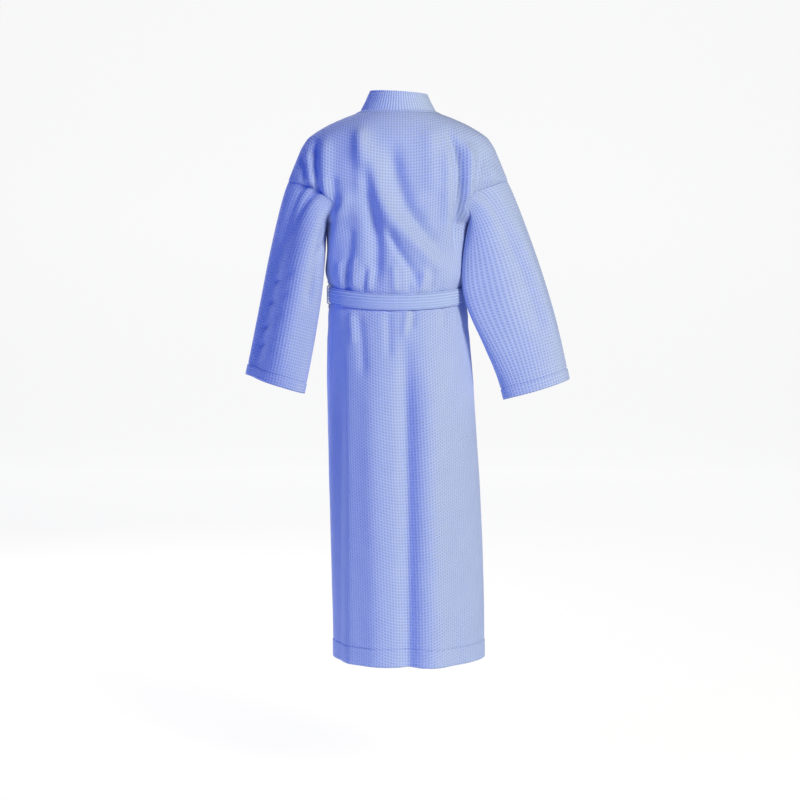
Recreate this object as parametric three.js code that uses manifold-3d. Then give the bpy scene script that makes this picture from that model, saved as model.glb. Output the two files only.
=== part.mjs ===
// Kimono bathrobe in waffle cotton, tied with its belt and standing as it does when worn.
// Millimetres, +Z up. The front faces -Y, the wearer's left is +X. The origin is on the back neck
// seam's level, in the middle of the neck, which is the height that the shoulders carry.
import * as THREE from "three";
import { mergeVertices } from "three/addons/utils/BufferGeometryUtils.js";
import Module from "manifold-3d";

// ---- driving dimensions ----
const bodyLength = 1243; // back neck seam to bottom hem
const shoulderHalf = 250; // middle to the dropped sleeve seam
const chestDepth = 118; // half, at the top of the armhole
const waistHalf = 154;
const waistDepth = 118;
const skirtHalf = 171;
const skirtDepth = 147;
const skirtDrift = 25; // the hem hangs this far towards the wearer's right
const neckHalf = 86;
const neckDepth = 64;
const collarHeight = 45; // neckband, seam to folded edge
const cloth = 3; // doubled-up waffle, as it stands
const bandCloth = 4.5;
const seamGap = 0.5;
const layerGap = 0.6;
const armholeTop = -155;
const armholeBottom = -250;
const armholeDepth = 84; // half, front to back
const beltLevel = -420;
const beltWidth = 36;
const beltCloth = 4;
const lapAtBelt = -40; // free edge of the outer front, past the middle
const lapAtHem = -46;
const sleeveLength = 412;
const sleeves = {
  left: { side: 1, swing: 10.3, bow: 12, back: -18, upper: 68, hem: 73, hemTilt: 16 },
  right: { side: -1, swing: 14.2, bow: 4, back: 36, upper: 68, hem: 77, hemTilt: 18 },
};
const underarmGap = 1;
const sleeveDepthTop = 72;
const sleeveDepthHem = 58;
const pocketTurn = 38; // degrees of the skirt that a pocket covers
const pocketHeight = 175;
const pocketTop = -560;
const pocketStarts = { left: 18, right: 38 }; // nearer edge, degrees from the middle of the front
const pocketSlack = 17;
const knotAt = -99;
const knotWidth = 66;
const knotHeight = 52;
const knotDepth = 26;
const tailGapX = 3;
const tailLengths = { outer: 360, inner: 325 };
const loopTape = 3;
const loopHalf = 18;
const loopDrop = 42;
const labelWidth = 44;
const labelHeight = 26;
const labelCloth = 1;

const rad = THREE.MathUtils.degToRad;
const ease = THREE.MathUtils.smoothstep;
const mix = THREE.MathUtils.lerp;

// ---- the robe's outer surface: ellipses at heights, smoothly joined ----
const slopes = [
  // height, half width, half depth
  [collarHeight, neckHalf - 22, neckDepth - 11],
  [22, neckHalf - 12, neckDepth - 7],
  [0, neckHalf, neckDepth],
  [-12, neckHalf + 34, neckDepth + 15],
  [-28, mix(neckHalf, shoulderHalf, 0.43), chestDepth - 28],
  [-44, mix(neckHalf, shoulderHalf, 0.6), chestDepth - 19],
  [-58, mix(neckHalf, shoulderHalf, 0.72), chestDepth - 13],
  [-80, mix(neckHalf, shoulderHalf, 0.81), chestDepth - 8],
  [-115, mix(neckHalf, shoulderHalf, 0.9), chestDepth - 3],
  [armholeTop, shoulderHalf, chestDepth],
  [mix(armholeTop, armholeBottom, 0.5), mix(shoulderHalf, waistHalf + 12, 0.5), chestDepth + 4],
  [armholeBottom, waistHalf + 12, chestDepth + 7],
  [beltLevel + 90, waistHalf + 4, waistDepth + 8],
  [beltLevel + 30, waistHalf, waistDepth + 1],
  [beltLevel, waistHalf, waistDepth],
  [beltLevel - 30, waistHalf + 1, waistDepth + 1],
  [beltLevel - 90, mix(waistHalf, skirtHalf, 0.5), mix(waistDepth, skirtDepth, 0.5)],
  [beltLevel - 190, mix(waistHalf, skirtHalf, 0.8), mix(waistDepth, skirtDepth, 0.8)],
  [beltLevel - 400, skirtHalf, skirtDepth],
  [-bodyLength, skirtHalf, skirtDepth],
];

// Height to half width (column 1) or half depth (column 2), by a monotone cubic.
function along(z, column) {
  const row = (i) => slopes[THREE.MathUtils.clamp(i, 0, slopes.length - 1)];
  let i = slopes.findIndex((r, k) => k > 0 && z >= r[0]) - 1;
  if (i < 0) i = slopes.length - 2;
  const secant = (k) => {
    const dz = row(k + 1)[0] - row(k)[0];
    return dz === 0 ? null : (row(k + 1)[column] - row(k)[column]) / dz;
  };
  const here = secant(i);
  const tangent = (p, q) => (p === null || q === null || p * q <= 0 ? 0 : (2 * p * q) / (p + q));
  const dz = row(i + 1)[0] - row(i)[0];
  const t = THREE.MathUtils.clamp((z - row(i)[0]) / dz, 0, 1);
  const start = tangent(i > 0 ? secant(i - 1) : here, here) * dz;
  const end = tangent(here, i + 2 < slopes.length ? secant(i + 1) : here) * dz;
  return (
    row(i)[column] * (2 * t ** 3 - 3 * t * t + 1) +
    start * (t ** 3 - 2 * t * t + t) +
    row(i + 1)[column] * (3 * t * t - 2 * t ** 3) +
    end * (t ** 3 - t * t)
  );
}

const drift = (z) => -skirtDrift * ease(-z, -beltLevel, bodyLength);

// Point of the surface at an angle from the middle of the back, +90 degrees at the wearer's left.
function surface(angle, z) {
  const x = drift(z) + along(z, 1) * Math.sin(angle);
  return new THREE.Vector3(x, along(z, 2) * Math.cos(angle), z);
}

// Angle of the point on the front that lies at x.
function frontAngle(x, z) {
  return Math.PI - Math.asin(THREE.MathUtils.clamp((x - drift(z)) / along(z, 1), -1, 1));
}

// ---- solids of cloth ----
// place(u, v) gives the sheet's outer face; it's lofted between the offsets out and out - thick.
function sheet(place, nu, nv, { out = () => 0, thick = () => cloth, ring = false } = {}) {
  const step = 1e-4;
  const normal = (u, v) => {
    const u0 = ring ? u - step : Math.max(u - step, 0);
    const u1 = ring ? u + step : Math.min(u + step, 1);
    const along_u = place(u1, v).sub(place(u0, v));
    const along_v = place(u, Math.min(v + step, 1)).sub(place(u, Math.max(v - step, 0)));
    return along_v.cross(along_u).normalize();
  };
  const position = [];
  const columns = ring ? nu : nu + 1;
  for (const face of [0, 1]) {
    for (let j = 0; j <= nv; j++) {
      for (let i = 0; i < columns; i++) {
        const [u, v] = [i / nu, j / nv];
        const lift = out(u, v) - face * thick(u, v);
        position.push(...place(u, v).addScaledVector(normal(u, v), lift).toArray());
      }
    }
  }
  const at = (face, i, j) => face * columns * (nv + 1) + j * columns + (i % columns);
  const index = [];
  const quad = (a, b, c, d) => index.push(a, c, b, a, d, c);
  for (let j = 0; j < nv; j++) {
    for (let i = 0; i < nu; i++) {
      quad(at(0, i, j), at(0, i + 1, j), at(0, i + 1, j + 1), at(0, i, j + 1));
      quad(at(1, i, j), at(1, i, j + 1), at(1, i + 1, j + 1), at(1, i + 1, j));
    }
    if (!ring) {
      quad(at(0, 0, j), at(0, 0, j + 1), at(1, 0, j + 1), at(1, 0, j));
      quad(at(0, nu, j), at(1, nu, j), at(1, nu, j + 1), at(0, nu, j + 1));
    }
  }
  for (let i = 0; i < nu; i++) {
    quad(at(0, i, 0), at(1, i, 0), at(1, i + 1, 0), at(0, i + 1, 0));
    quad(at(0, i, nv), at(0, i + 1, nv), at(1, i + 1, nv), at(1, i, nv));
  }
  const made = new THREE.BufferGeometry();
  made.setAttribute("position", new THREE.Float32BufferAttribute(position, 3));
  made.setIndex(index);
  return made;
}

// Heights for a panel, close together round the armhole so that its edge is a true curve.
const armholeSteps = 12;
const armholeMiddle = (armholeTop + armholeBottom) / 2;
const armholeHalf = (armholeTop - armholeBottom) / 2;
const shoulderLevels = [0, -3, -7, -12, -20, -28, -36, -44, -58, -80, -100, -125];
const armholeLevels = Array.from(
  { length: armholeSteps + 1 },
  (_, k) => armholeMiddle + armholeHalf * Math.cos((Math.PI * k) / armholeSteps),
);
const chestLevels = [
  ...[0.25, 0.5, 0.75, 1].map((t) => mix(armholeBottom, beltLevel + beltWidth / 2, t)),
  beltLevel,
  beltLevel - beltWidth / 2,
];
const skirtTop = beltLevel - beltWidth / 2 - 14;
const skirtLevels = [0.06, 0.13, 0.22, 0.33, 0.46, 0.6, 0.8, 1].map((t) => mix(skirtTop, -bodyLength, t));
const upperLevels = [...shoulderLevels, ...armholeLevels, ...chestLevels];
const backCut = skirtLevels[4]; // the back's skirt is in two lengths, so that each one is simple
const pick = (levels, v) => {
  const at = v * (levels.length - 1);
  const k = Math.min(Math.floor(at), levels.length - 2);
  return mix(levels[k], levels[k + 1], at - k);
};

// Half depth of the armhole at a height, nothing above and below it.
function armholeY(z) {
  const t = (z - armholeMiddle) / armholeHalf;
  return Math.abs(t) >= 1 ? 0 : armholeDepth * Math.sqrt(1 - t * t);
}

// Angle of the side edge of a back panel; a front panel's is the same from the front.
function sideAngle(z) {
  return Math.acos(THREE.MathUtils.clamp((armholeY(z) + seamGap / 2) / along(z, 2), 0, 1));
}

// ---- the front edges ----
// Free edge of the left front's band: down the V to the belt, then on to the hem.
const vTop = 46;
function freeEdge(z) {
  if (z > beltLevel) return mix(vTop, lapAtBelt, ease(-z, 10, -beltLevel));
  return mix(lapAtBelt, lapAtHem, (beltLevel - z) / (bodyLength + beltLevel)) + drift(z);
}
const bandAcross = (z) => collarHeight * (z > beltLevel ? 1.06 : 1);
function bandSeam(z) {
  const lower = freeEdge(z) + bandAcross(z);
  return mix(neckHalf, lower, ease(-z, 0, 70));
}

// How far a layer of the right front is tucked in, so that it passes under the left front.
const tuck = bandCloth + layerGap;
function tuckIn(x, z) {
  return -tuck * ease(x, freeEdge(z) - 46, freeEdge(z) - 6);
}

// ---- panels ----
function backPanel(levels) {
  const place = (u, v) => {
    const z = pick(levels, v);
    return surface(mix(sideAngle(z), -sideAngle(z), u), z);
  };
  return sheet(place, 20, levels.length - 1);
}

// side 1 is the left front, which lies on top, and -1 the right front under it.
function frontPanel(side, levels) {
  const place = (u, v) => {
    const z = pick(levels, v);
    const seam = side > 0 ? bandSeam(z) : 2 * drift(z) - bandSeam(z);
    const inner = frontAngle(seam + side * seamGap, z);
    const outer = side > 0 ? Math.PI - sideAngle(z) : Math.PI + sideAngle(z);
    return surface(side > 0 ? mix(inner, outer, u) : mix(outer, inner, u), z);
  };
  const out = (u, v) => {
    if (side > 0) return 0;
    const p = place(u, v);
    return tuckIn(p.x, p.z);
  };
  return sheet(place, 11, levels.length - 1, { out });
}

// Neckband of one front, at the heights given: it stands up beside the neck and lies flat further down.
function frontBand(side, heights) {
  const place = (u, v) => {
    const z = pick(heights, v);
    const seam = bandSeam(z);
    const angle = frontAngle(seam, z);
    const standing = surface(angle, collarHeight * u);
    const x = mix(seam, freeEdge(z), u);
    const lying = surface(frontAngle(x, z), z);
    const turned = Math.sin((Math.PI / 2) * Math.sqrt(THREE.MathUtils.clamp(-z / 80, 0, 1)));
    const point = standing.lerp(lying, turned);
    if (side < 0) point.x = 2 * drift(z) - point.x;
    return point;
  };
  const across = side > 0 ? (u, v) => place(1 - u, v) : place;
  const out = (u, v) => {
    if (side > 0) return 1;
    const p = across(u, v);
    return tuckIn(p.x, p.z) + (p.z > -60 ? 1 : 0);
  };
  return sheet(across, 4, heights.length - 1, { out, thick: () => bandCloth });
}

function backBand() {
  const edge = Math.PI / 2 - seamGap / neckHalf;
  const place = (u, v) => surface(mix(edge, -edge, u), mix(collarHeight, seamGap, v));
  return sheet(place, 16, 3, { out: () => 1, thick: () => bandCloth });
}

// ---- sleeves ----
// Armhole curve: 0 degrees at its top, 90 at the back, 180 at the underarm.
function armhole(angle, side) {
  const z = armholeMiddle + armholeHalf * Math.cos(angle);
  const y = armholeDepth * Math.sin(angle);
  const x = along(z, 1) * Math.sqrt(Math.max(0, 1 - (y / along(z, 2)) ** 2));
  return new THREE.Vector3(side * x, y, z);
}

function sleeve({ side, swing, bow, back, upper, hem, hemTilt }) {
  const way = new THREE.Vector3(side * Math.sin(rad(swing)), 0, -Math.cos(rad(swing)));
  const start = new THREE.Vector3(side * (mix(shoulderHalf, waistHalf + 12, 0.5)), 0, armholeMiddle);
  const place = (u, v) => {
    const angle = side * 2 * Math.PI * u;
    const run = mix(0.004, 1, v);
    const tilt = rad(hemTilt + (45 - hemTilt) * (1 - run) ** 3);
    const half = mix(upper, hem, ease(run, 0, 0.8));
    const deep = mix(sleeveDepthTop, sleeveDepthHem, run);
    const ring = start.clone().addScaledVector(way, run * sleeveLength);
    ring.x += side * (half * Math.cos(angle) * Math.cos(tilt) + bow * Math.sin(Math.PI * run));
    ring.z += half * Math.cos(angle) * Math.sin(tilt);
    ring.y += deep * Math.sin(angle) + back * ease(run, 0, 0.7);
    const point = armhole(angle, side).lerp(ring, ease(run, 0, 0.42));
    point.x += side * underarmGap * (1 - Math.cos(angle));
    return point;
  };
  return sheet(place, 24, 12, { ring: true });
}

// ---- belt ----
const beltOut = 1.2 + layerGap;
function beltWrap() {
  const place = (u, v) => surface(-2 * Math.PI * u, beltLevel + beltWidth * (0.5 - v));
  return sheet(place, 40, 2, { out: () => beltOut + beltCloth, thick: () => beltCloth, ring: true });
}

// A rectangle of cloth on the front, between two x and two heights.
function frontPatch(x0, x1, z0, z1, out, thick, nu, nv) {
  const place = (u, v) => {
    const z = mix(z0, z1, v);
    return surface(frontAngle(mix(x0, x1, u), z), z);
  };
  return sheet(place, nu, nv, { out, thick });
}

function knot() {
  const base = beltOut + beltCloth + layerGap;
  const bulge = (u, v) => 6 + (knotDepth - 6) * Math.sqrt(Math.max(0, Math.sin(Math.PI * u) * Math.sin(Math.PI * v)));
  const half = knotWidth / 2;
  const [top, bottom] = [beltLevel + knotHeight / 2, beltLevel - knotHeight / 2];
  const out = (u, v) => base + bulge(u, v);
  return frontPatch(knotAt - half, knotAt + half, top, bottom, out, bulge, 8, 7);
}

const tailTop = beltLevel - knotHeight / 2 - layerGap;
function tail(x, length) {
  const [x0, x1] = [x - beltWidth / 2, x + beltWidth / 2];
  const out = (u, v) => mix(9, layerGap + pocketSlack + beltCloth + 3, ease(v, 0, 0.3));
  return frontPatch(x0, x1, tailTop, tailTop - length, out, () => beltCloth, 3, 10);
}

// Loop of belt cloth at a side seam, standing over the belt.
function beltLoop(side) {
  const half = 6;
  const reach = beltWidth / 2 + 12;
  const loopCloth = 2;
  const over = beltOut + beltCloth + layerGap + loopCloth;
  const place = (u, v) => {
    const z = beltLevel + mix(reach, -reach, v);
    return surface(side * Math.PI / 2 + mix(half, -half, u) / along(z, 2), z);
  };
  const out = (u, v) => {
    const edge = Math.abs(v - 0.5) * 2 * reach;
    const rise = 1 - ease(edge, beltWidth / 2 + 1, reach - 3);
    return mix(layerGap + loopCloth, over, rise);
  };
  return sheet(place, 2, 20, { out, thick: () => loopCloth });
}

// ---- pockets ----
let solids;
function asSolid(geometry) {
  const merged = mergeVertices(geometry, 1e-4);
  const mesh = new solids.Mesh({
    numProp: 3,
    vertProperties: merged.attributes.position.array,
    triVerts: new Uint32Array(merged.index.array),
  });
  return new solids.Manifold(mesh);
}

function asGeometry(solid) {
  const mesh = solid.getMesh();
  const made = new THREE.BufferGeometry();
  made.setAttribute("position", new THREE.BufferAttribute(mesh.vertProperties, 3));
  made.setIndex(new THREE.BufferAttribute(mesh.triVerts, 1));
  return made;
}

function pocket(side, start) {
  const wall = 2.5;
  const block = (near, far, top, bottom, out, thick) => {
    const turn = (u) => Math.PI - side * rad(mix(near, far, side > 0 ? u : 1 - u));
    const place = (u, v) => surface(turn(u), mix(top, bottom, v));
    return asSolid(sheet(place, 8, 8, { out: () => out, thick: () => thick }));
  };
  const far = start + pocketTurn;
  const bottom = pocketTop - pocketHeight;
  const out = layerGap + pocketSlack;
  const edge = THREE.MathUtils.radToDeg(wall / skirtDepth);
  const outer = block(start, far, pocketTop, bottom, out, pocketSlack);
  const hollow = block(start + edge, far - edge, pocketTop + 5, bottom + wall, out - wall, pocketSlack + 2);
  return asGeometry(outer.subtract(hollow));
}

// ---- inside the neck ----
const hangLoopY = neckDepth - bandCloth - loopTape / 2 - 2;
function hangLoop() {
  const path = new THREE.CatmullRomCurve3(
    [
      [-loopHalf, 2], [-loopHalf, -loopDrop * 0.5], [-loopHalf * 0.7, -loopDrop * 0.87],
      [0, -loopDrop], [loopHalf * 0.7, -loopDrop * 0.87], [loopHalf, -loopDrop * 0.5], [loopHalf, 2],
    ].map(([x, z]) => new THREE.Vector3(x, hangLoopY, z)),
  );
  const section = new THREE.Shape();
  section.absarc(0, 0, loopTape / 2, 0, 2 * Math.PI);
  const swept = new THREE.ExtrudeGeometry(section, { extrudePath: path, steps: 20, curveSegments: 4 });
  swept.deleteAttribute("normal");
  swept.deleteAttribute("uv");
  return mergeVertices(swept, 1e-3);
}

// Flat label that hangs from its top edge, sewn to the back just under the neck.
const labelTop = -58;
const labelY = along(labelTop, 2) - cloth - labelCloth - 1.6;
function neckLabel() {
  const box = new THREE.BoxGeometry(labelWidth, labelCloth, labelHeight);
  box.translate(0, labelY, labelTop - labelHeight / 2);
  box.deleteAttribute("normal");
  box.deleteAttribute("uv");
  return mergeVertices(box, 1e-3);
}

// Strip inside the back, over the neckband's seam.
function neckTape() {
  const edge = rad(62);
  const place = (u, v) => surface(mix(edge, -edge, u), mix(-10, -26, v));
  return sheet(place, 12, 2, { out: () => -cloth - layerGap, thick: () => 1 });
}

// Ties inside the waist, from the under front's free edge to the left side seam.
const tieThick = 1.6;
function innerTie(x0, x1, out0, out1) {
  const level = beltLevel - 4;
  const out = (u) => mix(out0, out1, ease(u, 0, 0.7));
  return frontPatch(x0, x1, level + 5, level - 5, out, () => tieThick, 6, 2);
}

function careLabel() {
  const place = (u, v) => surface(rad(mix(96, 84, u)) - rad(14), mix(-610, -665, v));
  return sheet(place, 2, 3, { out: () => -cloth - 2 * layerGap, thick: () => labelCloth });
}

// ---- the robe ----
const wasm = await Module();
wasm.setup();
solids = wasm;

const blues = {
  waffle: { color: 0x9fb2e2, roughness: 0.95 },
  band: { color: 0xa6b7e4, roughness: 0.95 },
  belt: { color: 0xa3b5e3, roughness: 0.93 },
  tape: { color: 0x93a6d8, roughness: 0.9 },
  label: { color: 0xe9ebf2, roughness: 0.8 },
};
const robe = new THREE.Group();
function add(name, geometry, finish) {
  const mesh = new THREE.Mesh(geometry, new THREE.MeshStandardMaterial({ metalness: 0, ...blues[finish] }));
  mesh.name = name;
  robe.add(mesh);
}

const bandUpper = [-seamGap, ...upperLevels.slice(1), skirtTop + seamGap];
const bandLower = [skirtTop - seamGap, ...skirtLevels];
const yokeEnd = chestLevels[0];
add("back_yoke", backPanel([...shoulderLevels, ...armholeLevels, yokeEnd]), "waffle");
add("back_waist", backPanel([yokeEnd - seamGap, ...chestLevels.slice(1), skirtTop]), "waffle");
add("back_skirt_upper", backPanel([skirtTop - seamGap, ...skirtLevels.slice(0, 5)]), "waffle");
add("back_skirt_lower", backPanel([backCut - seamGap, ...skirtLevels.slice(5)]), "waffle");
for (const [word, side] of [["left", 1], ["right", -1]]) {
  add("front_" + word + "_bodice", frontPanel(side, [...upperLevels.slice(1), skirtTop + seamGap]), "waffle");
  add("front_" + word + "_skirt", frontPanel(side, bandLower), "waffle");
}
add("sleeve_left", sleeve(sleeves.left), "waffle");
add("sleeve_right", sleeve(sleeves.right), "waffle");
add("neckband_back", backBand(), "band");
add("neckband_left", frontBand(1, bandUpper), "band");
add("neckband_left_lower", frontBand(1, bandLower), "band");
add("neckband_right", frontBand(-1, [...bandUpper, ...bandLower]), "band");
add("belt_wrap", beltWrap(), "belt");
add("belt_knot", knot(), "belt");
const tailStep = beltWidth / 2 + tailGapX / 2;
add("belt_tail_outer", tail(knotAt - tailStep, tailLengths.outer), "belt");
add("belt_tail_inner", tail(knotAt + tailStep, tailLengths.inner), "belt");
add("belt_loop_left", beltLoop(1), "belt");
add("belt_loop_right", beltLoop(-1), "belt");
add("pocket_left", pocket(1, pocketStarts.left), "waffle");
add("pocket_right", pocket(-1, pocketStarts.right), "waffle");
add("hang_loop", hangLoop(), "tape");
add("neck_tape", neckTape(), "tape");
add("neck_label", neckLabel(), "label");
add("care_label", careLabel(), "label");
const tieMeets = 70;
const tieDeep = -tuck - bandCloth - layerGap;
const tieShallow = -cloth - layerGap;
add("inner_tie_under", innerTie(22, tieMeets, tieDeep, tieDeep), "tape");
add("inner_tie_side", innerTie(tieMeets + layerGap, 140, tieDeep, tieShallow), "tape");

export default robe;
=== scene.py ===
import math
import bmesh
import bpy
import numpy as np
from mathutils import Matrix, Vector


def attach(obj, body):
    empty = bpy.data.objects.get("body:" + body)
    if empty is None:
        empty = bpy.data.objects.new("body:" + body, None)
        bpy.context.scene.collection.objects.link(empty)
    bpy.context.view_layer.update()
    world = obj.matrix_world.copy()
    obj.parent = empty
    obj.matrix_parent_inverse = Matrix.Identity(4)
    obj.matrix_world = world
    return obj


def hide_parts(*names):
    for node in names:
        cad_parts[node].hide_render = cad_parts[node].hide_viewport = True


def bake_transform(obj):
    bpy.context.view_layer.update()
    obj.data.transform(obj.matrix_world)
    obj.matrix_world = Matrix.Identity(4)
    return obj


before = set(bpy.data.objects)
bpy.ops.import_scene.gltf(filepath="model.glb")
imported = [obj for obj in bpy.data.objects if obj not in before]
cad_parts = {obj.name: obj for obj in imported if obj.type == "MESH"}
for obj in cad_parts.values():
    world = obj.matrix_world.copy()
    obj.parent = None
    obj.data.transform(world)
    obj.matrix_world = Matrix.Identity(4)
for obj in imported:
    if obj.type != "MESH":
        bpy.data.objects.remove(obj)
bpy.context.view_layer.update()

# The room: a plain white sweep, a large soft key light on the robe's right side, a cool fill from
# all round, and a long lens behind the wearer's back at hip height.
scene = bpy.context.scene
scene.view_settings.view_transform = "Standard"
hem_z = -1.243
floor_z = hem_z - 0.29



def stage_piece(name, width, front, back, wall, level, shade, glow):
    bm = bmesh.new()
    bmesh.ops.create_grid(bm, x_segments=1, y_segments=60, size=0.5)
    length = front - back
    for vert in bm.verts:
        run = (0.5 - vert.co.y) * (length + (2.4 + wall if wall else 0))
        turn = min(max(run - length, 0) / 1.5, math.pi / 2)
        up = max(run - length - 1.5 * math.pi / 2, 0)
        y = front - min(run, length) - 1.5 * math.sin(turn)
        vert.co = Vector((vert.co.x * width, y, level + 1.5 * (1 - math.cos(turn)) + up))
    mesh = bpy.data.meshes.new(name)
    bm.to_mesh(mesh)
    bm.free()
    mesh.polygons.foreach_set("use_smooth", [True] * len(mesh.polygons))
    piece = bpy.data.objects.new(name, mesh)
    scene.collection.objects.link(piece)
    paint = bpy.data.materials.new(name + "_paint")
    paint.use_nodes = True
    shader = paint.node_tree.nodes["Principled BSDF"]
    shader.inputs["Base Color"].default_value = (shade, shade, shade, 1)
    shader.inputs["Roughness"].default_value = 1.0
    shader.inputs["Emission Color"].default_value = (1, 1, 1, 1)
    shader.inputs["Emission Strength"].default_value = glow
    mesh.materials.append(paint)


stage_piece("backdrop", 5.6, 0.9, -7.0, 4.5, floor_z, 0.10, 0.90)
stage_piece("floor", 18.0, 9.0, -9.0, 0, floor_z - 0.004, 0.55, 0.10)

world = bpy.data.worlds.new("studio")
scene.world = world
world.use_nodes = True
world.node_tree.nodes["Background"].inputs["Color"].default_value = (0.16, 0.30, 0.90, 1)
world.node_tree.nodes["Background"].inputs["Strength"].default_value = 0.14

for name, place, size, power, color in (
    ("key", (-2.7, 3.5, 1.5), 1.5, 236, (1.0, 0.92, 0.64)),
    ("blue_fill", (3.4, 2.4, 0.2), 3.0, 66, (0.02, 0.14, 1.0)),
    ("front_fill", (1.8, -3.0, 0.9), 2.2, 90, (1.0, 0.93, 0.80)),
):
    lamp = bpy.data.lights.new(name, "AREA")
    lamp.shape = "DISK"
    lamp.size = size
    lamp.energy = power
    lamp.color = color
    holder = bpy.data.objects.new(name, lamp)
    holder.location = place
    holder.rotation_euler = (Vector((0, 0, hem_z / 2)) - Vector(place)).to_track_quat("-Z", "Y").to_euler()
    scene.collection.objects.link(holder)

camera = bpy.data.objects.new("camera", bpy.data.cameras.new("camera"))
scene.collection.objects.link(camera)
scene.camera = camera
camera.data.lens = 84.7
camera.data.sensor_width = 36
camera.location = (-0.0045, 4.30, -0.37)
camera.rotation_euler = (Vector((-0.0045, 0, -0.653)) - camera.location).to_track_quat("-Z", "Y").to_euler()

# Back panel: one length of waffle cotton from the nape to the hem, dropped past the shoulders and
# hollowed at the armholes, with a turned hem. It stands in the shape of a worn robe.
armhole_top = -0.155
armhole_bottom = -0.250
armhole_depth = 0.084
belt_z = -0.420
cloth = 0.0022
# height, half width, half depth
shape = np.array([
    (0.048, 0.062, 0.0525), (0.045, 0.064, 0.053), (0.022, 0.074, 0.057), (0.0, 0.086, 0.064),
    (-0.012, 0.120, 0.079), (-0.028, 0.1565, 0.090), (-0.044, 0.1844, 0.099), (-0.058, 0.2041, 0.105),
    (-0.080, 0.2188, 0.110), (-0.115, 0.2336, 0.115), (-0.155, 0.250, 0.118), (-0.2025, 0.208, 0.122),
    (-0.250, 0.166, 0.125), (-0.330, 0.158, 0.126), (-0.390, 0.154, 0.119), (-0.420, 0.154, 0.118),
    (-0.450, 0.155, 0.119), (-0.510, 0.1625, 0.1325), (-0.610, 0.1676, 0.1412), (-0.820, 0.171, 0.147),
    (-1.260, 0.171, 0.147),
])
fine_z = np.arange(-1.26, 0.06, 0.001)
window = np.hanning(15) / np.hanning(15).sum()
shape_at = [
    np.convolve(
        np.pad(np.interp(fine_z, shape[::-1, 0], shape[::-1, k]), 7, mode="edge"), window, mode="valid"
    )
    for k in (1, 2)
]
slope_at = [np.gradient(column, 0.001) for column in shape_at]
length_at = [np.cumsum(np.sqrt(1 + slope**2)[::-1])[::-1] * 0.001 for slope in slope_at]


def half_width(z):
    return np.interp(z, fine_z, shape_at[0])


def half_depth(z):
    return np.interp(z, fine_z, shape_at[1])


def ease(value, start, end):
    t = np.clip((value - start) / (end - start), 0, 1)
    return t * t * (3 - 2 * t)


def drift(z):
    return -0.025 * ease(-z, 0.42, 1.243)


def armhole_y(z):
    t = (z - (armhole_top + armhole_bottom) / 2) / ((armhole_top - armhole_bottom) / 2)
    return armhole_depth * np.sqrt(np.clip(1 - t * t, 0, 1))


def side_angle(z):
    return np.arccos(np.clip(armhole_y(z) / half_depth(z), 0, 1))


def front_angle(x, z):
    return np.pi - np.arcsin(np.clip((x - drift(z)) / half_width(z), -1, 1))


# A fold: a soft ridge (or valley, when its height is below nought) along a line of points.
def fold(px, pz, width, height, line):
    line = np.array(line, float)
    lengths = np.hypot(*np.diff(line, axis=0).T)
    starts = np.concatenate([[0], np.cumsum(lengths)])
    nearest = np.full(px.shape, 1e9)
    where = np.zeros(px.shape)
    for k in range(len(line) - 1):
        ax, az = line[k]
        dx, dz = line[k + 1] - line[k]
        t = np.clip(((px - ax) * dx + (pz - az) * dz) / (dx * dx + dz * dz), 0, 1)
        gap = np.hypot(px - ax - t * dx, pz - az - t * dz)
        where = np.where(gap < nearest, (starts[k] + t * lengths[k]) / starts[-1], where)
        nearest = np.minimum(gap, nearest)
    return height * np.exp(-((nearest / width) ** 2)) * ease(np.minimum(where, 1 - where), 0, 0.22)


def ripple(px, pz, size, seed):
    rng = np.random.default_rng(seed)
    total = np.zeros(np.shape(px))
    for _ in range(9):
        across, along = rng.normal(0, 1 / size, 2)
        total = total + np.sin(across * px + 0.3 * along * pz + rng.uniform(0, 6.28))
    return total / 9


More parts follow.
